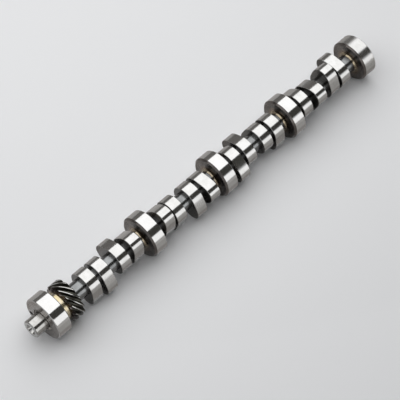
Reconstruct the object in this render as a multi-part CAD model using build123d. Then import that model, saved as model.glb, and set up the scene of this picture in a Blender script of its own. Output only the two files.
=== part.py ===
from build123d import *
from math import atan2, cos, degrees, pi, radians, sin, sqrt, tan
import os

# Roller camshaft of an eight-cylinder vee engine, ground from one billet of steel.
# Millimetres and degrees. +X runs along the shaft from its nose to its rear end and +Z is up.
# The origin is the centre of the front face of the first journal, which takes the end thrust.

# Bearing journals, numbered from the nose. Each is smaller than the one before it,
# so that the shaft slides into the block from the front.
FIRST_JOURNAL_D = 52.86
JOURNAL_STEP_D = 0.38
FRONT_JOURNAL_WIDTH = 18.0
MIDDLE_JOURNAL_WIDTH = 17.5
REAR_JOURNAL_WIDTH = 18.5
JOURNAL_COUNT = 5
JOURNAL_LEAD = 2.0
JOURNAL_CHAMFER = 1.0

# Shaft between the lobes, and the nose that carries the timing sprocket.
SHAFT_D = 21.8
NOSE_LENGTH = 17.3
NOSE_D = 21.9
NOSE_CHAMFER = 1.0
NOSE_GROOVE_WIDTH = 3.0
NOSE_GROOVE_DEPTH = 2.0

# Holes: the sprocket's bolt and dowel at the nose, and the lathe centres at both ends.
BOLT_HOLE_D = 7.95
BOLT_HOLE_DEPTH = 30.0
NOSE_CENTRE_D = 13.0
CENTRE_ANGLE = 60.0
DOWEL_HOLE_D = 5.0
DOWEL_HOLE_DEPTH = 11.0
DOWEL_CIRCLE_R = 20.8
DOWEL_ANGLE = 205.0
REAR_CENTRE_D = 11.0
REAR_PILOT_D = 4.0
REAR_PILOT_DEPTH = 9.0

# Distributor gear behind the first journal, a right-hand helical gear.
GEAR_TEETH = 13
GEAR_NORMAL_MODULE = 1.78
GEAR_HELIX = 57.5
GEAR_PRESSURE = 20.0
GEAR_PHASE = 73.5
GEAR_NECK_D = 33.6
GEAR_NECK_LENGTH = 7.0
GEAR_FRONT_CONE = 2.6
GEAR_FACE_WIDTH = 13.0
GEAR_CHAMFER = 0.7

# Lobes. A bay holds the lobes of two cylinders, one of each bank.
BORE_PITCH = 111.25
FIRST_LOBE_X = 57.0
LOBE_WIDTH = 14.1
BANK_STEP = 18.5
VALVE_SPACING = 44.7
LAST_LOBE_TO_JOURNAL = 8.9
LAST_LOBE_TO_REAR_JOURNAL = 15.2
BASE_CIRCLE_R = 16.95
LIFT = 8.3
HALF_EVENT = 76.0
LIFT_FULLNESS = 0.5
ROLLER_R = 9.525
FLANK_ARCS = 7

# Timing: each lobe's place round the shaft follows from the firing order.
FIRING_ORDER = (1, 3, 7, 2, 6, 5, 4, 8)
LOBE_SEPARATION = 110.5
BANK_ANGLE = 90.0
FIRST_BANK = (1, 2, 3, 4)
BAYS = (
    ("1 intake", "5 exhaust", "1 exhaust", "5 intake"),
    ("2 intake", "6 exhaust", "2 exhaust", "6 intake"),
    ("3 intake", "7 exhaust", "3 exhaust", "7 intake"),
    ("4 intake", "8 exhaust", "4 exhaust", "8 intake"),
)
ROLL = 150.0


def facing_nose(x):
    """A plane across the shaft at x, seen from the nose: its own x runs right, its y up."""
    return Plane(origin=(x, 0, 0), x_dir=(0, -1, 0), z_dir=(-1, 0, 0))


def on_circle(radius, angle):
    """A point of a cross-section, by radius and angle."""
    return radius * cos(radians(angle)), radius * sin(radians(angle))


def journal_radius(number):
    return (FIRST_JOURNAL_D - number * JOURNAL_STEP_D) / 2


def bay_width():
    """From the front of a bay's first lobe to the rear of its last."""
    return VALVE_SPACING + BANK_STEP + LOBE_WIDTH


def lobe_front(bay, place):
    """Front face of a lobe: intake and exhaust of a cylinder are one valve spacing apart."""
    steps = (0, BANK_STEP, VALVE_SPACING, VALVE_SPACING + BANK_STEP)
    return FIRST_LOBE_X + bay * BORE_PITCH + steps[place]


def journal_span(number):
    """Front and rear face of a journal."""
    if number == 0:
        return 0, FRONT_JOURNAL_WIDTH
    bay_end = lobe_front(number - 1, 0) + bay_width()
    if number == JOURNAL_COUNT - 1:
        front = bay_end + LAST_LOBE_TO_REAR_JOURNAL
        return front, front + REAR_JOURNAL_WIDTH
    front = bay_end + LAST_LOBE_TO_JOURNAL
    return front, front + MIDDLE_JOURNAL_WIDTH


# --- Gear sizes, worked out from its teeth --------------------------------------------------

gear_pitch_r = GEAR_TEETH * GEAR_NORMAL_MODULE / cos(radians(GEAR_HELIX)) / 2
gear_tip_r = gear_pitch_r + GEAR_NORMAL_MODULE
gear_root_r = gear_pitch_r - 1.25 * GEAR_NORMAL_MODULE
gear_lead = 2 * pi * gear_pitch_r / tan(radians(GEAR_HELIX))
gear_cone_x = FRONT_JOURNAL_WIDTH + GEAR_NECK_LENGTH
gear_front_x = gear_cone_x + GEAR_FRONT_CONE
gear_rear_x = gear_front_x + GEAR_FACE_WIDTH


def cone_x(radius):
    """Where the cone in front of the gear's teeth reaches a radius."""
    rise = (radius - GEAR_NECK_D / 2) / (gear_tip_r - GEAR_NECK_D / 2)
    return gear_cone_x + rise * GEAR_FRONT_CONE


# --- Core: nose, journals and shaft in one turned profile -------------------------------------


def journal_outline(number):
    """Profile points of one journal, from the shaft in front of it to the shaft behind."""
    front, rear = journal_span(number)
    radius = journal_radius(number)
    return [
        (front, radius - JOURNAL_LEAD),
        (front + JOURNAL_LEAD, radius),
        (rear - JOURNAL_CHAMFER, radius),
        (rear, radius - JOURNAL_CHAMFER),
    ]


def core_profile():
    """Half section of the turned core. A groove round the nose clears the grinding wheel."""
    shaft_r = SHAFT_D / 2
    neck_r = GEAR_NECK_D / 2
    groove_r = NOSE_D / 2 + NOSE_GROOVE_WIDTH
    points = [
        (-NOSE_LENGTH, 0),
        (-NOSE_LENGTH, NOSE_D / 2 - NOSE_CHAMFER),
        (-NOSE_LENGTH + NOSE_CHAMFER, NOSE_D / 2),
        (NOSE_GROOVE_DEPTH, NOSE_D / 2),
        (NOSE_GROOVE_DEPTH, groove_r),
        (0, groove_r),
    ]
    points += journal_outline(0)
    points += [
        (FRONT_JOURNAL_WIDTH, neck_r),
        (gear_cone_x, neck_r),
        (cone_x(gear_root_r), gear_root_r),
        (gear_rear_x, gear_root_r),
        (gear_rear_x, shaft_r),
    ]
    for number in range(1, JOURNAL_COUNT):
        front, rear = journal_span(number)
        points += [(front, shaft_r)] + journal_outline(number)
        if number < JOURNAL_COUNT - 1:
            points.append((rear, shaft_r))
    points.append((journal_span(JOURNAL_COUNT - 1)[1], 0))
    return make_face(Polyline(*points, close=True))


# --- Lobes -------------------------------------------------------------------------------------


def lift_at(share):
    """Lift and its slope, as shares of full lift, at a share of half the event."""
    rest = 1 - share**2
    swell = 1 + LIFT_FULLNESS * share**2
    lift = rest**3 * swell
    slope = -6 * share * rest**2 * swell + 2 * LIFT_FULLNESS * share * rest**3
    return lift, slope


def flank_point(angle):
    """Where the follower's roller touches the lobe, at an angle from its nose."""
    lift, slope = lift_at(angle / HALF_EVENT)
    centre_r = BASE_CIRCLE_R + ROLLER_R + LIFT * lift
    climb = LIFT * slope / radians(HALF_EVENT)
    lean = degrees(atan2(climb, centre_r))
    centre = Vector(*on_circle(centre_r, angle))
    return centre - Vector(*on_circle(ROLLER_R, angle - lean))


def lobe_outline():
    """Lobe with its nose along x: arcs on the roller's envelope, closed by the base circle."""
    step = HALF_EVENT / FLANK_ARCS
    flank = [flank_point(i * step - HALF_EVENT) for i in range(2 * FLANK_ARCS + 1)]
    edges = [ThreePointArc(*flank[i : i + 3]) for i in range(0, 2 * FLANK_ARCS, 2)]
    edges.append(ThreePointArc(flank[-1], (-BASE_CIRCLE_R, 0), flank[0]))
    return make_face(edges)


def lobe_angle(name):
    """Where a lobe's nose points, seen from the nose of the shaft."""
    cylinder, valve = name.split()
    cylinder = int(cylinder)
    turn = 360 / len(FIRING_ORDER) * FIRING_ORDER.index(cylinder)
    bank = BANK_ANGLE if cylinder in FIRST_BANK else 0
    side = 1 if valve == "intake" else -1
    return ROLL + turn + bank + side * LOBE_SEPARATION / 2


def make_lobe(bay, place):
    turned = Rot(0, 0, lobe_angle(BAYS[bay][place])) * lobe_outline()
    return extrude(facing_nose(lobe_front(bay, place)) * turned, amount=-LOBE_WIDTH)


# --- Gear --------------------------------------------------------------------------------------


def involute(pressure):
    """The involute function, in degrees, of a pressure angle in degrees."""
    return degrees(tan(radians(pressure))) - pressure


def tooth_half_angle(radius):
    """Half the angle that a tooth fills at a radius, from the involute through that radius."""
    pressure = degrees(atan2(tan(radians(GEAR_PRESSURE)), cos(radians(GEAR_HELIX))))
    base_r = gear_pitch_r * cos(radians(pressure))
    here = degrees(atan2(sqrt(radius**2 - base_r**2), base_r))
    return 90 / GEAR_TEETH + involute(pressure) - involute(here)


def gear_section():
    """Cross-section of the teeth, with one tooth on the local x axis."""
    root_half = tooth_half_angle(gear_root_r)
    tip_half = tooth_half_angle(gear_tip_r)
    edges = []
    for tooth in range(GEAR_TEETH):
        middle = 360 / GEAR_TEETH * tooth
        following = middle + 360 / GEAR_TEETH
        rise = on_circle(gear_root_r, middle - root_half)
        crest_start = on_circle(gear_tip_r, middle - tip_half)
        crest_end = on_circle(gear_tip_r, middle + tip_half)
        fall = on_circle(gear_root_r, middle + root_half)
        valley = on_circle(gear_root_r, middle + 180 / GEAR_TEETH)
        next_rise = on_circle(gear_root_r, following - root_half)
        edges.append(Line(rise, crest_start))
        edges.append(ThreePointArc(crest_start, on_circle(gear_tip_r, middle), crest_end))
        edges.append(Line(crest_end, fall))
        edges.append(ThreePointArc(fall, valley, next_rise))
    return make_face(edges)


def make_gear():
    """Twisted teeth, cut back by the cone in front and a chamfer behind."""
    start = cone_x(gear_root_r)
    length = gear_rear_x - start
    section = Plane(origin=(start, 0, 0), x_dir=(0, 1, 0), z_dir=(1, 0, 0)) * (
        Rot(0, 0, GEAR_PHASE) * gear_section()
    )
    teeth = Solid.extrude_linear_with_rotation(
        section.face(), (start, 0, 0), (length, 0, 0), 360 * length / gear_lead
    )
    blank = make_face(
        Polyline(
            (start, 0),
            (start, gear_root_r),
            (gear_front_x, gear_tip_r),
            (gear_rear_x - GEAR_CHAMFER, gear_tip_r),
            (gear_rear_x, gear_tip_r - GEAR_CHAMFER),
            (gear_rear_x, 0),
            close=True,
        )
    )
    return Part() + teeth & revolve(blank, axis=Axis.X)


# --- Holes -------------------------------------------------------------------------------------


def centre_hole(end_x, inward, mouth_d, bore_d, depth):
    """Lathe centre and the bore behind it, as one turned plug. inward is +1 or -1 along X."""
    cone = (mouth_d - bore_d) / 2 / tan(radians(CENTRE_ANGLE / 2))
    tip = bore_d / 2 / tan(radians(CENTRE_ANGLE))
    outline = make_face(
        Polyline(
            (end_x, 0),
            (end_x, mouth_d / 2),
            (end_x + inward * cone, bore_d / 2),
            (end_x + inward * (depth - tip), bore_d / 2),
            (end_x + inward * depth, 0),
            close=True,
        )
    )
    return revolve(outline, axis=Axis.X)


def dowel_hole():
    """Blind hole in the first journal's face, which locates the sprocket."""
    place = facing_nose(0) * Pos(*on_circle(DOWEL_CIRCLE_R, DOWEL_ANGLE))
    return extrude(place * Circle(DOWEL_HOLE_D / 2), amount=-DOWEL_HOLE_DEPTH)


# --- Camshaft ----------------------------------------------------------------------------------


def make_camshaft():
    shaft = revolve(core_profile(), axis=Axis.X)
    lobes = [make_lobe(bay, place) for bay in range(len(BAYS)) for place in range(4)]
    shaft = shaft + lobes + make_gear()
    rear_x = journal_span(JOURNAL_COUNT - 1)[1]
    holes = [
        centre_hole(-NOSE_LENGTH, 1, NOSE_CENTRE_D, BOLT_HOLE_D, BOLT_HOLE_DEPTH),
        centre_hole(rear_x, -1, REAR_CENTRE_D, REAR_PILOT_D, REAR_PILOT_DEPTH),
        dowel_hole(),
    ]
    return shaft - holes


camshaft = make_camshaft()
os.makedirs("parts", exist_ok=True)
export_step(camshaft, "parts/camshaft.step")
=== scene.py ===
from math import atan2, cos, degrees, pi, radians, sin, sqrt, tan

import bpy
import numpy as np
from mathutils import Matrix, Vector


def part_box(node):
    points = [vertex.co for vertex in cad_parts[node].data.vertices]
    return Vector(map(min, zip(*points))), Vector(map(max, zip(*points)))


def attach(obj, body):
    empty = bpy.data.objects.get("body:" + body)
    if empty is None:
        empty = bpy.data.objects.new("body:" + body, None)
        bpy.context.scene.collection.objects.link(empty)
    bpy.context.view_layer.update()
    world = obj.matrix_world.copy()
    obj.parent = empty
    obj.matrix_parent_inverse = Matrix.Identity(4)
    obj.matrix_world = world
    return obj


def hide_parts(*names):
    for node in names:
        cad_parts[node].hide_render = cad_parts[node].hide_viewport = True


# Roller camshaft of a vee-eight, ground bright on its journals and lobes, dark between them.
# Lengths of the shaft are in millimetres until mm() makes them metres, and the studio is in
# metres. +X runs from the nose to the rear end, +Z is up, and the origin is the centre of the
# first journal's front face. Angles round the shaft are in degrees from -Y over +Z, as they are
# seen from the nose.

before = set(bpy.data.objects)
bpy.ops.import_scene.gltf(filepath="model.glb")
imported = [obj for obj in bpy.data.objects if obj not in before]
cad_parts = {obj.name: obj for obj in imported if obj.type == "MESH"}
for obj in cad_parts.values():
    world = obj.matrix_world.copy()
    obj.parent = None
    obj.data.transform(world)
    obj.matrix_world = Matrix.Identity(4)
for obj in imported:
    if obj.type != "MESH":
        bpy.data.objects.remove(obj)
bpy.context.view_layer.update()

# ---------------------------------------------------------------- sizes of the shaft (mm)

FIRST_JOURNAL_D = 52.86
JOURNAL_STEP_D = 0.38
FRONT_JOURNAL_WIDTH = 18.0
MIDDLE_JOURNAL_WIDTH = 17.5
REAR_JOURNAL_WIDTH = 18.5
JOURNAL_COUNT = 5
JOURNAL_LEAD = 2.0
FRONT_ROUND = 1.5
JOURNAL_CHAMFER = 1.0
JOURNAL_FILLET = 2.8

SHAFT_R = 10.9
NOSE_LENGTH = 17.3
NOSE_R = 10.95
NOSE_CHAMFER = 1.0
NOSE_GROOVE_WIDTH = 3.0
NOSE_GROOVE_DEPTH = 2.0
NOSE_FILLET = 1.4

BOLT_HOLE_R = 3.975
BOLT_HOLE_DEPTH = 30.0
THREAD_PITCH = 1.5875
THREAD_DEPTH = 0.6
THREAD_END = 18.0
NOSE_CENTRE_R = 6.5
REAR_CENTRE_R = 5.5
REAR_PILOT_R = 2.0
REAR_PILOT_DEPTH = 9.0
CENTRE_ANGLE = 60.0
DOWEL_HOLE_R = 2.5
DOWEL_HOLE_DEPTH = 11.0
DOWEL_CIRCLE_R = 20.8
DOWEL_ANGLE = 205.0

GEAR_TEETH = 13
GEAR_NORMAL_MODULE = 1.78
GEAR_DEDENDUM = 1.25
GEAR_HELIX = 57.5
GEAR_PRESSURE = 20.0
GEAR_PHASE = 73.5
GEAR_NECK_R = 16.8
GEAR_NECK_LENGTH = 7.0
GEAR_FRONT_CONE = 2.6
GEAR_FACE_WIDTH = 13.0
GEAR_CHAMFER = 0.7
GEAR_REAR_STEP = 0.3
NECK_FILLET = 1.5
GEAR_REAR_FILLET = 2.0

BORE_PITCH = 111.25
FIRST_LOBE_X = 57.0
LOBE_WIDTH = 14.1
BANK_STEP = 18.5
VALVE_SPACING = 44.7
LAST_LOBE_TO_JOURNAL = 8.9
LAST_LOBE_TO_REAR_JOURNAL = 15.2
LOBE_EDGE = 0.4
BASE_CIRCLE_R = 16.95
LIFT = 8.3
HALF_EVENT = 76.0
LIFT_FULLNESS = 0.5
ROLLER_R = 9.525

FIRING_ORDER = (1, 3, 7, 2, 6, 5, 4, 8)
LOBE_SEPARATION = 110.5
BANK_ANGLE = 90.0
FIRST_BANK = (1, 2, 3, 4)
BAYS = (
    ((1, "intake"), (5, "exhaust"), (1, "exhaust"), (5, "intake")),
    ((2, "intake"), (6, "exhaust"), (2, "exhaust"), (6, "intake")),
    ((3, "intake"), (7, "exhaust"), (3, "exhaust"), (7, "intake")),
    ((4, "intake"), (8, "exhaust"), (4, "exhaust"), (8, "intake")),
)
ROLL = 150.0

# ---------------------------------------------------------------- fineness of the mesh

# Points of one tooth pitch, as shares: of the crest's half angle, of the flank's height from
# the tip, and of the valley's width. The segments in RUBBED, which are half of the crest and
# the top of the flank beside it, are worn bright.
CREST_POINTS = (0.5, -0.05)
FLANK_POINTS = (0, 0.12, 0.4, 0.7, 1)
VALLEY_POINTS = (0.2, 0.4, 0.6, 0.8)
RUBBED = (1, 2)
STEPS_PER_TOOTH = len(CREST_POINTS) + 2 * len(FLANK_POINTS) + len(VALLEY_POINTS)
AROUND = GEAR_TEETH * STEPS_PER_TOOTH
EVEN = np.arange(AROUND) * 360 / AROUND

# Points of a lobe's curve, and rings across a flat face, as shares of its width.
LIFT_POINTS = 305
FACE_RINGS = (0.35, 0.7, 1.0)

FILLET_STEPS = 7
THREAD_STEPS = 6
CONE_LOOPS = 10
GEAR_LOOPS = 26
DOWEL_AROUND = 48
SHARP_ANGLE = 24.0


def mm(value):
    return value / 1000


def journal_radius(number):
    return (FIRST_JOURNAL_D - number * JOURNAL_STEP_D) / 2


def lobe_front(bay, place):
    steps = (0, BANK_STEP, VALVE_SPACING, VALVE_SPACING + BANK_STEP)
    return FIRST_LOBE_X + bay * BORE_PITCH + steps[place]


def journal_span(number):
    """Front and rear face of a journal."""
    if number == 0:
        return 0.0, FRONT_JOURNAL_WIDTH
    bay_end = lobe_front(number - 1, 3) + LOBE_WIDTH
    if number == JOURNAL_COUNT - 1:
        front = bay_end + LAST_LOBE_TO_REAR_JOURNAL
        return front, front + REAR_JOURNAL_WIDTH
    front = bay_end + LAST_LOBE_TO_JOURNAL
    return front, front + MIDDLE_JOURNAL_WIDTH


# ---------------------------------------------------------------- lobes


def lift_at(share):
    """Lift and its slope, as shares of full lift, at a share of half the event."""
    rest = 1 - share**2
    swell = 1 + LIFT_FULLNESS * share**2
    return rest**3 * swell, -6 * share * rest**2 * swell + 2 * LIFT_FULLNESS * share * rest**3


def flank_point(angle):
    """Where the follower's roller touches the lobe, at an angle from its nose."""
    lift, slope = lift_at(angle / HALF_EVENT)
    centre_r = BASE_CIRCLE_R + ROLLER_R + LIFT * lift
    lean = atan2(LIFT * slope / radians(HALF_EVENT), centre_r)
    turn = radians(angle)
    return (
        centre_r * cos(turn) - ROLLER_R * cos(turn - lean),
        centre_r * sin(turn) - ROLLER_R * sin(turn - lean),
    )


def lobe_angle(cylinder, valve):
    """Where a lobe's nose points, from -Y over +Z."""
    turn = 360 / len(FIRING_ORDER) * FIRING_ORDER.index(cylinder)
    bank = BANK_ANGLE if cylinder in FIRST_BANK else 0
    side = 1 if valve == "intake" else -1
    return ROLL + turn + bank + side * LOBE_SEPARATION / 2


FLANK = np.array([flank_point(a) for a in np.linspace(-HALF_EVENT, HALF_EVENT, LIFT_POINTS)])
FLANK_ANGLE = np.degrees(np.arctan2(FLANK[:, 1], FLANK[:, 0]))
FLANK_RADIUS = np.hypot(FLANK[:, 0], FLANK[:, 1])


def lobe_radius(angles, nose):
    """Radius of a lobe at angles round the shaft, for a nose that points at an angle."""
    away = (angles - nose + 180) % 360 - 180
    return np.interp(away, FLANK_ANGLE, FLANK_RADIUS, left=BASE_CIRCLE_R, right=BASE_CIRCLE_R)


# ---------------------------------------------------------------- gear

gear_pitch_r = GEAR_TEETH * GEAR_NORMAL_MODULE / cos(radians(GEAR_HELIX)) / 2
gear_tip_r = gear_pitch_r + GEAR_NORMAL_MODULE
gear_root_r = gear_pitch_r - GEAR_DEDENDUM * GEAR_NORMAL_MODULE
gear_lead = 2 * pi * gear_pitch_r / tan(radians(GEAR_HELIX))
gear_cone_x = FRONT_JOURNAL_WIDTH + GEAR_NECK_LENGTH
gear_front_x = gear_cone_x + GEAR_FRONT_CONE
gear_rear_x = gear_front_x + GEAR_FACE_WIDTH


def cone_x(radius):
    """Where the cone in front of the teeth has a radius."""
    rise = (radius - GEAR_NECK_R) / (gear_tip_r - GEAR_NECK_R)
    return gear_cone_x + rise * GEAR_FRONT_CONE


def cone_radius(x):
    return GEAR_NECK_R + (x - gear_cone_x) / GEAR_FRONT_CONE * (gear_tip_r - GEAR_NECK_R)


def involute(pressure):
    return degrees(tan(radians(pressure))) - pressure


def tooth_half_angle(radius):
    """Half the angle that a tooth fills at a radius, on its involute flanks."""
    pressure = degrees(atan2(tan(radians(GEAR_PRESSURE)), cos(radians(GEAR_HELIX))))
    base_r = gear_pitch_r * cos(radians(pressure))
    here = degrees(atan2(sqrt(radius**2 - base_r**2), base_r))
    return 90 / GEAR_TEETH + involute(pressure) - involute(here)


def tooth_points():
    """One tooth pitch as (angle from the tooth's middle, radius): crest, flank, valley, flank."""
    pitch = 360 / GEAR_TEETH
    radii = gear_tip_r - (gear_tip_r - gear_root_r) * np.array(FLANK_POINTS)
    half = [tooth_half_angle(r) for r in radii]
    crest = [(-half[0] * share, gear_tip_r) for share in CREST_POINTS]
    falling = list(zip(half, radii))
    valley_start = half[-1]
    valley_width = pitch - 2 * valley_start
    valley = [(valley_start + valley_width * share, gear_root_r) for share in VALLEY_POINTS]
    rising = [(pitch - h, r) for h, r in reversed(falling)]
    return crest + falling + valley + rising


TOOTH = tooth_points()
GEAR_STEP_ANGLE = np.array([360 / GEAR_TEETH * t + a for t in range(GEAR_TEETH) for a, r in TOOTH])
GEAR_STEP_RADIUS = np.array([r for t in range(GEAR_TEETH) for a, r in TOOTH])

# ---------------------------------------------------------------- rings along the shaft

FINISHES = (
    "ground", "rear", "lobe", "thrust", "turned", "side", "core", "root", "gear", "crest", "neck",
    "nose", "groove", "hole", "edge",
)


class Loops:
    """Rings of points along the shaft. Each strip between two rings has a finish."""

    def __init__(self):
        self.x = []
        self.angle = []
        self.radius = []
        self.finish = []

    def add(self, x, radius, finish, angle=None):
        """A ring at x. finish is the finish of the strip that ends at this ring."""
        self.x.append(np.broadcast_to(np.asarray(x, float), (AROUND,)))
        self.radius.append(np.broadcast_to(np.asarray(radius, float), (AROUND,)))
        self.angle.append(EVEN if angle is None else angle)
        self.finish.append(finish)


loops = Loops()


def rounded(x, radius, size, start, end, finish):
    """Rings on an arc about (x, radius), from angle start to end in the half section."""
    for turn in np.linspace(start, end, FILLET_STEPS):
        loops.add(x + size * cos(radians(turn)), radius + size * sin(radians(turn)), finish)


def face_rings(x, start, end, finish):
    """Rings across a flat face at x, from one radius to another."""
    for share in FACE_RINGS:
        loops.add(x, start + (end - start) * share, finish)


def journal(number, before, after):
    """One journal, from its front face's foot to its rear face's foot."""
    front, rear = journal_span(number)
    radius = journal_radius(number)
    face, lead = ("thrust", FRONT_ROUND) if number == 0 else ("turned", JOURNAL_LEAD)
    drum, behind = ("rear", "thrust") if number == JOURNAL_COUNT - 1 else ("ground", "turned")
    low = radius - lead
    face_rings(front, before, low, face)
    if number == 0:
        rounded(front + lead, low, lead, 180, 90, "ground")
    else:
        loops.add(front + lead, radius, face)
    middle = (front + JOURNAL_LEAD + rear - JOURNAL_CHAMFER) / 2
    for x in (middle, rear - JOURNAL_CHAMFER):
        loops.add(x, radius, drum)
    low = radius - JOURNAL_CHAMFER
    loops.add(rear, low, "edge")
    face_rings(rear, low, after, behind)


def nose_end():
    """Bolt hole, lathe centre and the nose, up to the first journal's face."""
    end = -NOSE_LENGTH
    cone = (NOSE_CENTRE_R - BOLT_HOLE_R) / tan(radians(CENTRE_ANGLE / 2))
    tip = BOLT_HOLE_R / tan(radians(CENTRE_ANGLE))
    loops.add(end + BOLT_HOLE_DEPTH, 0.0, "hole")
    loops.add(end + BOLT_HOLE_DEPTH - tip, BOLT_HOLE_R, "hole")
    for x in np.arange(end + THREAD_END, end + cone, -THREAD_PITCH / THREAD_STEPS):
        ridge = np.abs((x / THREAD_PITCH - EVEN / 360) % 1 - 0.5) * 2
        loops.add(x, BOLT_HOLE_R + THREAD_DEPTH * ridge, "hole")
    loops.add(end + cone, BOLT_HOLE_R, "hole")
    loops.add(end, NOSE_CENTRE_R, "nose")
    loops.add(end, (NOSE_CENTRE_R + NOSE_R - NOSE_CHAMFER) / 2, "nose")
    loops.add(end, NOSE_R - NOSE_CHAMFER, "nose")
    loops.add(end + NOSE_CHAMFER, NOSE_R, "edge")
    for share in FACE_RINGS:
        loops.add(end + NOSE_CHAMFER + share * (NOSE_LENGTH - NOSE_CHAMFER), NOSE_R, "nose")
    corner = NOSE_GROOVE_DEPTH - NOSE_FILLET
    groove_r = NOSE_R + NOSE_GROOVE_WIDTH
    rounded(corner, NOSE_R + NOSE_FILLET, NOSE_FILLET, -90, 0, "groove")
    rounded(corner, groove_r - NOSE_FILLET, NOSE_FILLET, 0, 90, "groove")
    loops.add(0, groove_r, "groove")


def gear():
    """Neck, cone and helical teeth behind the first journal."""
    neck_foot = FRONT_JOURNAL_WIDTH + NECK_FILLET
    rounded(neck_foot, GEAR_NECK_R + NECK_FILLET, NECK_FILLET, 180, 270, "neck")
    loops.add(gear_cone_x, GEAR_NECK_R, "neck")
    start = cone_x(gear_root_r)
    loops.add((gear_cone_x + start) / 2, cone_radius((gear_cone_x + start) / 2), "neck")

    def ring(x, limit, finish):
        twist = 360 * (x - start) / gear_lead
        angle = 180 - (GEAR_STEP_ANGLE + GEAR_PHASE + twist)
        loops.add(x, np.minimum(GEAR_STEP_RADIUS, limit), finish, angle)

    for x in np.linspace(start, gear_front_x, CONE_LOOPS):
        ring(x, max(cone_radius(x), gear_root_r), "neck")
    face_end = gear_rear_x - GEAR_CHAMFER
    for x in np.linspace(gear_front_x, face_end, GEAR_LOOPS)[1:]:
        ring(x, gear_tip_r, "gear")
    for share in (0.5, 1.0):
        ring(face_end + share * GEAR_CHAMFER, gear_tip_r - share * GEAR_CHAMFER, "gear")
    loops.add(gear_rear_x, gear_root_r - GEAR_REAR_STEP, "turned")
    shaft_foot = gear_rear_x + GEAR_REAR_FILLET
    rounded(shaft_foot, SHAFT_R + GEAR_REAR_FILLET, GEAR_REAR_FILLET, 180, 270, "core")


def lobe(bay, place):
    """One lobe with broken edges."""
    front = lobe_front(bay, place)
    rear = front + LOBE_WIDTH
    radius = lobe_radius(EVEN, lobe_angle(*BAYS[bay][place]))
    low = radius - LOBE_EDGE
    halfway = SHAFT_R + 0.5 * (low - SHAFT_R)
    loops.add(front, SHAFT_R, "core")
    loops.add(front, halfway, "side")
    loops.add(front, low, "side")
    loops.add(front + LOBE_EDGE, radius, "edge")
    loops.add(front + LOBE_WIDTH / 2, radius, "lobe")
    loops.add(rear - LOBE_EDGE, radius, "lobe")
    loops.add(rear, low, "edge")
    loops.add(rear, halfway, "side")
    loops.add(rear, SHAFT_R, "side")


def rear_end():
    """Lathe centre in the last journal's rear face."""
    end = journal_span(JOURNAL_COUNT - 1)[1]
    cone = (REAR_CENTRE_R - REAR_PILOT_R) / tan(radians(CENTRE_ANGLE / 2))
    tip = REAR_PILOT_R / tan(radians(CENTRE_ANGLE))
    loops.add(end - cone, REAR_PILOT_R, "hole")
    loops.add(end - REAR_PILOT_DEPTH + tip, REAR_PILOT_R, "hole")
    loops.add(end - REAR_PILOT_DEPTH, 0.0, "hole")


def whole_shaft():
    """All rings, from the bottom of the bolt hole to the bottom of the rear centre."""
    nose_end()
    journal(0, NOSE_R + NOSE_GROOVE_WIDTH, GEAR_NECK_R + NECK_FILLET)
    gear()
    foot = SHAFT_R + JOURNAL_FILLET
    for bay, places in enumerate(BAYS):
        for place in range(len(places)):
            lobe(bay, place)
        number = bay + 1
        front, rear = journal_span(number)
        loops.add(front - JOURNAL_FILLET, SHAFT_R, "core")
        rounded(front - JOURNAL_FILLET, foot, JOURNAL_FILLET, -90, 0, "root")
        last = number == JOURNAL_COUNT - 1
        journal(number, foot, REAR_CENTRE_R if last else foot)
        if not last:
            rounded(rear + JOURNAL_FILLET, foot, JOURNAL_FILLET, 180, 270, "root")
    rear_end()


# ---------------------------------------------------------------- mesh from the rings


def nearest_starts(points, radius):
    """For each ring, the point that lies nearest to the start of the ring before it."""
    starts = [0]
    for k in range(1, len(points)):
        start = starts[-1]
        if radius[k].mean() > 0 and radius[k - 1].mean() > 0:
            before = points[k - 1][start][1:] / radius[k - 1].mean()
            here = points[k][:, 1:] / radius[k].mean()
            start = int(np.argmin(np.linalg.norm(here - before, axis=1)))
        starts.append(start)
    return starts


def strip_faces(before, here):
    """The faces between two rings. A ring that is one point ends in a fan."""
    for i in range(AROUND):
        j = (i + 1) % AROUND
        if before[0] == before[1]:
            yield before[0], here[j], here[i]
        elif here[0] == here[1]:
            yield before[i], before[j], here[0]
        else:
            yield before[i], before[j], here[j], here[i]


def strip_finishes(name, start, step):
    """The finish of each face of a strip. On the gear, a part of each crest is rubbed bright."""
    for i in range(AROUND):
        segment = (start + step * i - (step < 0)) % STEPS_PER_TOOTH
        rubbed = name == "gear" and segment in RUBBED
        yield FINISHES.index("crest" if rubbed else name)


def build_mesh(name):
    """A closed mesh from the rings, with a finish for each face."""
    x, radius = np.array(loops.x), np.array(loops.radius)
    angle = np.radians(np.array(loops.angle))
    points = mm(np.stack([x, -radius * np.cos(angle), radius * np.sin(angle)], axis=2))
    starts = nearest_starts(points, radius)
    steps = [1 if a[1] > a[0] else -1 for a in angle]
    vertices, rows, faces, finish = [], [], [], []
    for k, ring in enumerate(points):
        first = len(vertices)
        if radius[k].max() == 0:
            vertices.append(ring[0])
            rows.append([first] * AROUND)
        else:
            vertices.extend(ring[(starts[k] + steps[k] * i) % AROUND] for i in range(AROUND))
            rows.append(range(first, first + AROUND))
        if k > 0:
            faces.extend(strip_faces(rows[k - 1], rows[k]))
            finish.extend(strip_finishes(loops.finish[k], starts[k], steps[k]))
    mesh = bpy.data.meshes.new(name)
    mesh.from_pydata([tuple(v) for v in vertices], [], faces)
    mesh.polygons.foreach_set("material_index", finish)
    mesh.validate()
    return mesh


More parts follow.
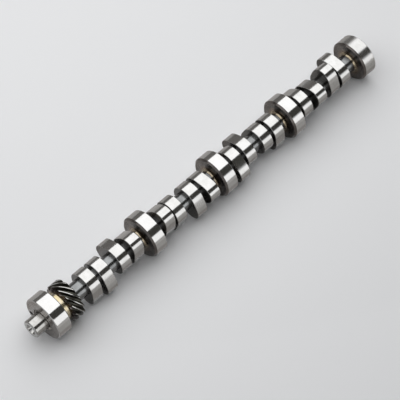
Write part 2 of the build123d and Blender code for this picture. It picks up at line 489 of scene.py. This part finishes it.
def dowel_plug():
    """A plug the size of the dowel hole."""
    turn = radians(DOWEL_ANGLE)
    radius, depth = mm(DOWEL_HOLE_R), mm(2 * DOWEL_HOLE_DEPTH)
    bpy.ops.mesh.primitive_cylinder_add(vertices=DOWEL_AROUND, radius=radius, depth=depth)
    plug = bpy.context.object
    plug.rotation_euler = (0, radians(90), 0)
    plug.location = (0, mm(-DOWEL_CIRCLE_R * cos(turn)), mm(DOWEL_CIRCLE_R * sin(turn)))
    plug.data.materials.append(MATERIALS["hole"])
    return plug


def build_shaft():
    """The shaft as one closed piece, with its dowel hole cut."""
    whole_shaft()
    mesh = build_mesh("camshaft_shaft")
    shaft = bpy.data.objects.new("camshaft_shaft", mesh)
    bpy.context.scene.collection.objects.link(shaft)
    for name in FINISHES:
        mesh.materials.append(MATERIALS[name])
    plug = dowel_plug()
    cut = shaft.modifiers.new("dowel", "BOOLEAN")
    cut.operation = "DIFFERENCE"
    cut.solver = "EXACT"
    cut.object = plug
    depsgraph = bpy.context.evaluated_depsgraph_get()
    drilled = bpy.data.meshes.new_from_object(shaft.evaluated_get(depsgraph))
    shaft.modifiers.clear()
    shaft.data = drilled
    bpy.data.objects.remove(plug)
    drilled.polygons.foreach_set("use_smooth", [True] * len(drilled.polygons))
    drilled.set_sharp_from_angle(angle=radians(SHARP_ANGLE))
    return shaft


# ---------------------------------------------------------------- materials

TO_MM = 1000
QUARTER_TURN = 0.25

STEEL = (0.50, 0.495, 0.485)
STEEL_LOBE = (0.48, 0.475, 0.465)
STEEL_SOFT = (0.47, 0.465, 0.455)
STEEL_DULL = (0.42, 0.415, 0.40)
STEEL_EDGE = (0.30, 0.295, 0.285)
STEEL_NOSE = (0.40, 0.395, 0.38)
STEEL_NOSE_DULL = (0.32, 0.31, 0.295)
STEEL_GROOVE = (0.44, 0.42, 0.40)
STEEL_GROOVE_DULL = (0.36, 0.34, 0.32)
STEEL_SATIN = (0.22, 0.225, 0.225)
STEEL_SHADE = (0.15, 0.152, 0.152)
# Near-black tones of the holes, painted shade in the recesses.
HOLE_SHADE_DARK = (0.075, 0.072, 0.068)
HOLE_SHADE_BLACK = (0.03, 0.029, 0.028)
THRUST_LIGHT = (0.30, 0.28, 0.265)
THRUST_DARK = (0.24, 0.22, 0.205)
FACE_LIGHT = (0.17, 0.155, 0.145)
FACE_DARK = (0.105, 0.095, 0.088)
SIDE_LIGHT = (0.12, 0.11, 0.102)
SIDE_DARK = (0.085, 0.08, 0.074)
SIDE_HUB = (0.075, 0.072, 0.066)
COPPER = (0.20, 0.145, 0.10)
ROOT_STRAW = (0.32, 0.27, 0.19)
ROOT_BROWN = (0.19, 0.155, 0.115)
BRASS = (0.50, 0.42, 0.25)
STRAW = (0.50, 0.45, 0.36)
MAUVE = (0.19, 0.155, 0.165)
BLACK_OXIDE = (0.040, 0.039, 0.035)
OLIVE_OXIDE = (0.080, 0.078, 0.062)

# Values of a noise between which its marks, smudges and patches go from one tone to the other.
NOISE_SPAN = (0.3, 0.7)
SMUDGE_SPAN = (0.4, 0.75)
FACE_PATCHES = (0.40, 0.64)
SATIN_PATCHES = (0.4, 0.65)
NECK_PATCHES = (0.42, 0.6)

# Radii between which a side face goes from its tint at the shaft to its own colour, and how far
# from the foot of the gear's cone the neck's tint turns into the cone's.
HUB_TINT = (12.0, 18.5)
NECK_TINT = (-0.5, 1.0)


class Finish:
    """A metal material and short ways to add nodes to it."""

    def __init__(self, name, anisotropy=0.0):
        self.material = bpy.data.materials.new(name)
        self.material.use_nodes = True
        self.tree = self.material.node_tree
        self.shader = self.tree.nodes["Principled BSDF"]
        self.shader.inputs["Metallic"].default_value = 1.0
        self.shader.inputs["Anisotropic"].default_value = anisotropy
        place = self.add("ShaderNodeTexCoord").outputs["Object"]
        scaled = self.add("ShaderNodeVectorMath", operation="SCALE")
        self.join(place, scaled.inputs[0])
        scaled.inputs["Scale"].default_value = TO_MM
        self.place = scaled.outputs[0]

    def add(self, kind, **settings):
        node = self.tree.nodes.new(kind)
        for key, value in settings.items():
            setattr(node, key, value)
        return node

    def join(self, output, socket):
        self.tree.links.new(output, socket)

    def stretched(self, along, across):
        """The place on the shaft in millimetres, scaled along X and across it."""
        node = self.add("ShaderNodeVectorMath", operation="MULTIPLY")
        self.join(self.place, node.inputs[0])
        node.inputs[1].default_value = (along, across, across)
        return node.outputs[0]

    def radius(self):
        """Distance from the shaft's axis in millimetres."""
        flat = self.stretched(0, 1)
        node = self.add("ShaderNodeVectorMath", operation="LENGTH")
        self.join(flat, node.inputs[0])
        return node.outputs["Value"]

    def noise(self, place, scale=1.0, detail=3.0, rough=0.55):
        node = self.add("ShaderNodeTexNoise")
        self.join(place, node.inputs["Vector"])
        node.inputs["Scale"].default_value = scale
        node.inputs["Detail"].default_value = detail
        node.inputs["Roughness"].default_value = rough
        return node.outputs["Fac"]

    def rings(self, scale, detail):
        """Noise that changes with the distance from the axis alone, as turning marks do."""
        node = self.add("ShaderNodeTexNoise", noise_dimensions="1D")
        self.join(self.radius(), node.inputs["W"])
        node.inputs["Scale"].default_value = scale
        node.inputs["Detail"].default_value = detail
        return node.outputs["Fac"]

    def remap(self, value, low, high, out_low=0, out_high=1):
        node = self.add("ShaderNodeMapRange")
        self.join(value, node.inputs["Value"])
        names = ("From Min", "From Max", "To Min", "To Max")
        for key, number in zip(names, (low, high, out_low, out_high)):
            node.inputs[key].default_value = number
        return node.outputs["Result"]

    def mix(self, share, a, b):
        """Colour a, turning into colour b as share goes from 0 to 1."""
        node = self.add("ShaderNodeMix", data_type="RGBA")
        self.join(share, node.inputs[0])
        for socket, colour in ((node.inputs[6], a), (node.inputs[7], b)):
            if isinstance(colour, tuple):
                socket.default_value = (*colour, 1)
            else:
                self.join(colour, socket)
        return node.outputs[2]

    def colour(self, value):
        self.join(value, self.shader.inputs["Base Color"])

    def roughness(self, marks, span):
        """Roughness that goes over a span with a noise."""
        self.join(self.remap(marks, *NOISE_SPAN, *span), self.shader.inputs["Roughness"])

    def bump(self, height, depth_mm):
        node = self.add("ShaderNodeBump")
        node.inputs["Strength"].default_value = 1.0
        node.inputs["Distance"].default_value = mm(depth_mm)
        self.join(height, node.inputs["Height"])
        self.join(node.outputs[0], self.shader.inputs["Normal"])

    def brushed_along(self):
        """Highlights spread along the shaft, across the marks that run round it."""
        node = self.add("ShaderNodeTangent", direction_type="RADIAL", axis="X")
        self.join(node.outputs[0], self.shader.inputs["Tangent"])
        self.shader.inputs["Anisotropic Rotation"].default_value = QUARTER_TURN


def ground_steel(name, rough, bright, dull):
    """Bright steel with fine grinding marks round the shaft."""
    finish = Finish(name, anisotropy=0.6)
    marks = finish.noise(finish.stretched(along=2.6, across=0.05), detail=4.0, rough=0.7)
    smudge = finish.noise(finish.place, scale=0.12)
    finish.colour(finish.mix(finish.remap(smudge, *SMUDGE_SPAN), bright, dull))
    finish.roughness(marks, rough)
    finish.bump(marks, depth_mm=0.0035)
    finish.brushed_along()
    return finish.material


def turned_face(name, light, dark, hub):
    """Side face: satin, with rings from the lathe, and tinted towards the shaft."""
    finish = Finish(name, anisotropy=0.75)
    rings = finish.rings(scale=1.6, detail=3.0)
    patches = finish.noise(finish.place, scale=0.09, detail=4.0)
    tone = finish.mix(finish.remap(patches, *FACE_PATCHES), dark, light)
    inner = finish.remap(finish.radius(), *HUB_TINT, 1, 0)
    finish.colour(finish.mix(inner, tone, hub))
    finish.roughness(rings, (0.2, 0.32))
    finish.bump(rings, depth_mm=0.012)
    finish.brushed_along()
    return finish.material


def satin_steel(name, rough, light, dark, spread=0.1):
    """Turned steel, satin, with patches of two tones."""
    finish = Finish(name, anisotropy=0.4)
    marks = finish.noise(finish.stretched(along=1.6, across=0.04))
    patches = finish.noise(finish.place, scale=spread, detail=4.0)
    finish.colour(finish.mix(finish.remap(patches, *SATIN_PATCHES), light, dark))
    finish.roughness(marks, rough)
    finish.bump(marks, depth_mm=0.006)
    finish.brushed_along()
    return finish.material


def grained_steel(name, rough, low_tone, high_tone, scale, depth_mm):
    """Steel with a grain in two tones, and no marks that run one way."""
    finish = Finish(name)
    grain = finish.noise(finish.place, scale=scale)
    finish.colour(finish.mix(grain, low_tone, high_tone))
    finish.roughness(grain, rough)
    finish.bump(grain, depth_mm)
    return finish.material


def neck_steel():
    """Neck and cone in front of the gear, tinted straw, brass and mauve by heat."""
    finish = Finish("neck_steel", anisotropy=0.3)
    marks = finish.noise(finish.stretched(along=1.8, across=0.05))
    patches = finish.noise(finish.place, scale=0.16)
    warm = finish.mix(finish.remap(patches, *NECK_PATCHES), STRAW, BRASS)
    place = finish.add("ShaderNodeSeparateXYZ")
    finish.join(finish.place, place.inputs[0])
    start, end = (gear_cone_x + away for away in NECK_TINT)
    far = finish.remap(place.outputs["X"], start, end)
    finish.colour(finish.mix(far, warm, finish.mix(patches, OLIVE_OXIDE, MAUVE)))
    finish.roughness(marks, (0.2, 0.32))
    finish.bump(marks, depth_mm=0.006)
    finish.brushed_along()
    return finish.material


MATERIALS = {
    "ground": ground_steel("journal_steel", (0.09, 0.15), STEEL, STEEL_SOFT),
    "rear": ground_steel("rear_journal_steel", (0.2, 0.27), STEEL_SOFT, STEEL_DULL),
    "lobe": ground_steel("lobe_steel", (0.11, 0.2), STEEL_LOBE, STEEL_DULL),
    "thrust": turned_face("thrust_face", THRUST_LIGHT, THRUST_DARK, FACE_LIGHT),
    "turned": turned_face("journal_face", FACE_LIGHT, FACE_DARK, COPPER),
    "side": turned_face("lobe_face", SIDE_LIGHT, SIDE_DARK, SIDE_HUB),
    "core": satin_steel("core_steel", (0.16, 0.28), STEEL_SATIN, STEEL_SHADE),
    "gear": grained_steel("gear_steel", (0.3, 0.45), BLACK_OXIDE, OLIVE_OXIDE, 0.8, 0.01),
    "crest": grained_steel("rubbed_crest_steel", (0.16, 0.26), STEEL_DULL, STEEL, 0.8, 0.01),
    "neck": neck_steel(),
    "root": satin_steel("root_steel", (0.2, 0.3), ROOT_STRAW, ROOT_BROWN, spread=0.2),
    "groove": satin_steel("groove_steel", (0.34, 0.42), STEEL_GROOVE, STEEL_GROOVE_DULL),
    "nose": satin_steel("nose_steel", (0.13, 0.22), STEEL_NOSE, STEEL_NOSE_DULL, spread=0.15),
    # Near-black hole steel: painted shade inside the bolt hole, the lathe centres and the dowel
    # hole.
    "hole": grained_steel("hole_steel_painted_shade", (0.3, 0.5), HOLE_SHADE_BLACK, HOLE_SHADE_DARK, 0.6, 0.01),
    "edge": grained_steel("edge_steel", (0.2, 0.32), STEEL_DULL, STEEL_EDGE, 0.5, 0.004),
}

# ---------------------------------------------------------------- the piece

shaft = build_shaft()
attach(shaft, "root")
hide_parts("camshaft")

# ---------------------------------------------------------------- studio (metres)

FLOOR_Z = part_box("camshaft")[0].z
FLOOR_HALF = 4.0
MIDDLE_X = 0.24
FLOOR_COLOUR = (0.90, 0.905, 0.915)

# The lamps hang along the shaft. Each fills a span of angles round it and is turned a little in
# its own plane, so that its reflection runs off slowly along the shaft as in the photo.
LAMP_DISTANCE = 1.0
LAMP_X = (-0.9, 1.5)
TOP_SPAN = (66.6, 153.6)
TOP_TURN = 3.0
TOP_RADIANCE = 1.35
FRONT_SPAN = (-6.5, 32.3)
FRONT_TURN = -11.0
FRONT_RADIANCE = 1.05
FLOOR_RADIANCE = 0.55

# Cards that glow at a set dark tone and show only in the metal fill the angles between the
# lamps and behind the top one: painted dark reflections.
CARD_X = (-1.6, 2.6)
FLAG_DISTANCE = 1.3
FLAG_FRONT_SPAN = (FRONT_SPAN[1], 65.6)
FLAG_BACK_SPAN = (TOP_SPAN[1], 178.0)
BLACK_GLOW_TONE = (0.072, 0.071, 0.064)
GREY_GLOW_TONE = (0.212, 0.203, 0.195)

# A card that glows grey just below the top lamp cuts its far corner, a painted shade in the lamp's
# reflection. Its outline has points by their place along the shaft and, as a share of the card's
# distance, across it.
CORNER_DISTANCE = 0.97
CORNER_FACING = 109.6
CORNER_OUTLINE = (
    (0.42, 0.93), (0.54, 0.85), (0.88, 0.71), (1.05, 0.60), (1.6, 0.20), (1.6, 1.05), (0.42, 1.05),
)

# Strips of card over the floor that glow at a set tone and show only in the metal: painted
# reflections of the floor, with painted shadow darker towards the shaft. Each is given by its far
# and near edge in front of the shaft. A negative edge lies behind it.
STRIP_RISE = 0.002
STRIPS = (
    ("painted_floor_reflection_far", 0.7, 0.14, (0.62, 0.61, 0.60)),
    ("painted_floor_shade_low", 0.14, 0.05, (0.49, 0.48, 0.47)),
    ("painted_floor_shadow_near", 0.05, 0.027, (0.35, 0.335, 0.325)),
    ("painted_floor_reflection_back", -3.5, -0.03, (0.51, 0.495, 0.485)),
)

WORLD_COLOUR = (0.95, 0.97, 1.0)
WORLD_SEEN = 0.7
WORLD_LIGHT = 0.06

CAMERA_PLACE = (-0.59836, -0.79823, 1.7579)
CAMERA_AZIMUTH = 46.33
CAMERA_ELEVATION = 57.06
CAMERA_ROLL = 1.07
CAMERA_CLIP = (0.05, 50)
SENSOR = 36.0
PICTURE = 400
FOCAL_PIXELS = 1896.45


def way(angle):
    """Unit vector across the shaft, at an angle from -Y over +Z."""
    return Vector((0, -cos(radians(angle)), sin(radians(angle))))


def paper_material(name, colour):
    """Matt paper of one colour."""
    material = bpy.data.materials.new(name)
    material.use_nodes = True
    shader = material.node_tree.nodes["Principled BSDF"]
    shader.inputs["Base Color"].default_value = (*colour, 1)
    shader.inputs["Roughness"].default_value = 1.0
    shader.inputs["Specular IOR Level"].default_value = 0.0
    return material


def glow_material(name, colour):
    """A card that glows with an even colour, whatever falls on it: painted light."""
    material = bpy.data.materials.new(name)
    material.use_nodes = True
    nodes = material.node_tree.nodes
    nodes.remove(nodes["Principled BSDF"])
    glow = nodes.new("ShaderNodeEmission")
    glow.inputs["Color"].default_value = (*colour, 1)
    material.node_tree.links.new(glow.outputs[0], nodes["Material Output"].inputs["Surface"])
    return material


def sheet(name, corners, material):
    """A flat sheet of the studio, by its corners."""
    mesh = bpy.data.meshes.new(name)
    mesh.from_pydata([tuple(c) for c in corners], [], [range(len(corners))])
    mesh.materials.append(material)
    thing = bpy.data.objects.new(name, mesh)
    bpy.context.scene.collection.objects.link(thing)
    return thing


def card(name, corners, material):
    """A card that shows only in reflections."""
    thing = sheet(name, corners, material)
    thing.visible_camera = False
    thing.visible_diffuse = False
    thing.visible_shadow = False
    thing.visible_transmission = False


def floor():
    """A wide sheet of paper that the shaft lies on."""
    around = ((-1, -1), (1, -1), (1, 1), (-1, 1))
    corners = [(MIDDLE_X + a * FLOOR_HALF, b * FLOOR_HALF, FLOOR_Z) for a, b in around]
    sheet("floor", corners, paper_material("floor_paper", FLOOR_COLOUR))


def softbox(name, span, radiance, turn, on_floor=True, in_metal=True):
    """A long box light over the shaft that fills a span of angles round it."""
    start, end = span
    middle, half = (start + end) / 2, (end - start) / 2
    out = way(middle)
    lamp = bpy.data.lights.new(name, "AREA")
    lamp.shape = "RECTANGLE"
    lamp.size = LAMP_X[1] - LAMP_X[0]
    lamp.size_y = 2 * LAMP_DISTANCE * tan(radians(half))
    lamp.energy = radiance * pi * lamp.size * lamp.size_y
    thing = bpy.data.objects.new(name, lamp)
    along = Vector((1, 0, 0))
    facing = Matrix((along, out.cross(along), out)).transposed().to_4x4()
    facing.translation = out * LAMP_DISTANCE + Vector((sum(LAMP_X) / 2, 0, 0))
    thing.matrix_world = facing @ Matrix.Rotation(radians(turn), 4, "Z")
    thing.visible_camera = False
    thing.visible_diffuse = on_floor
    thing.visible_glossy = in_metal
    bpy.context.scene.collection.objects.link(thing)


def flag(name, span, material):
    """A long glowing card over a span of angles round the shaft."""
    start, end = (way(angle) * FLAG_DISTANCE for angle in span)
    low, high = (Vector((x, 0, 0)) for x in CARD_X)
    card(name, [start + low, start + high, end + high, end + low], material)


def corner_flag(name, material):
    """The glowing card that cuts the top lamp's far corner."""
    out = way(CORNER_FACING)
    across = Vector((0, out.z, -out.y))
    middle = out * CORNER_DISTANCE
    corners = [Vector((x, 0, 0)) + across * u * CORNER_DISTANCE + middle for x, u in CORNER_OUTLINE]
    card(name, corners, material)


def floor_strip(name, far, near, material):
    """A glowing strip of card that lies along the shaft, between two distances from it: a painted
    reflection of the floor.
    """
    z = FLOOR_Z + STRIP_RISE
    low, high = CARD_X
    card(name, [(low, -far, z), (low, -near, z), (high, -near, z), (high, -far, z)], material)


def make_world():
    """A plain world, bright to the camera and in reflections and faint as light."""
    world = bpy.data.worlds.new("studio")
    world.use_nodes = True
    bpy.context.scene.world = world
    nodes, links = world.node_tree.nodes, world.node_tree.links
    sky = nodes["Background"]
    sky.inputs["Color"].default_value = (*WORLD_COLOUR, 1)
    path = nodes.new("ShaderNodeLightPath")
    seen = path.outputs["Is Camera Ray"]
    for ray in ("Is Glossy Ray", "Is Transmission Ray"):
        either = nodes.new("ShaderNodeMath")
        either.operation = "MAXIMUM"
        links.new(seen, either.inputs[0])
        links.new(path.outputs[ray], either.inputs[1])
        seen = either.outputs[0]
    strength = nodes.new("ShaderNodeMapRange")
    strength.inputs["To Min"].default_value = WORLD_LIGHT
    strength.inputs["To Max"].default_value = WORLD_SEEN
    links.new(seen, strength.inputs["Value"])
    links.new(strength.outputs["Result"], sky.inputs["Strength"])


def make_camera():
    lens = bpy.data.cameras.new("camera")
    lens.sensor_width = SENSOR
    lens.sensor_fit = "HORIZONTAL"
    lens.lens = FOCAL_PIXELS / PICTURE * SENSOR
    lens.clip_start, lens.clip_end = CAMERA_CLIP
    camera = bpy.data.objects.new("camera", lens)
    turn, dip, roll = radians(CAMERA_AZIMUTH), radians(CAMERA_ELEVATION), radians(CAMERA_ROLL)
    forward = Vector((sin(turn) * cos(dip), cos(turn) * cos(dip), -sin(dip)))
    right = forward.cross(Vector((0, 0, 1))).normalized()
    up = right.cross(forward)
    side = right * cos(roll) + up * sin(roll)
    top = up * cos(roll) - right * sin(roll)
    facing = Matrix((side, top, -forward)).transposed().to_4x4()
    facing.translation = Vector(CAMERA_PLACE)
    camera.matrix_world = facing
    bpy.context.scene.collection.objects.link(camera)
    bpy.context.scene.camera = camera


floor()
# The front lamp is two: one that only the metal reflects, and a weaker one that only lights
# the floor.
softbox("softbox_top", TOP_SPAN, TOP_RADIANCE, TOP_TURN)
softbox("softbox_front", FRONT_SPAN, FRONT_RADIANCE, FRONT_TURN, on_floor=False)
softbox("softbox_fill", FRONT_SPAN, FLOOR_RADIANCE, FRONT_TURN, in_metal=False)
# Glowing cards seen only in the metal: painted dark reflections between and behind the lamps.
black_glow_card = glow_material("black_glow_card", BLACK_GLOW_TONE)
grey_glow_card = glow_material("grey_glow_card", GREY_GLOW_TONE)
flag("flag_front", FLAG_FRONT_SPAN, black_glow_card)
flag("flag_back", FLAG_BACK_SPAN, grey_glow_card)
corner_flag("flag_corner", grey_glow_card)
# Glowing strips seen only in the metal: painted reflections of the floor, with painted shadow
# towards the shaft.
for strip, far_edge, near_edge, painted_reflection_colour in STRIPS:
    floor_strip(strip, far_edge, near_edge, glow_material(strip, painted_reflection_colour))
make_world()
make_camera()
bpy.context.scene.view_settings.view_transform = "Standard"
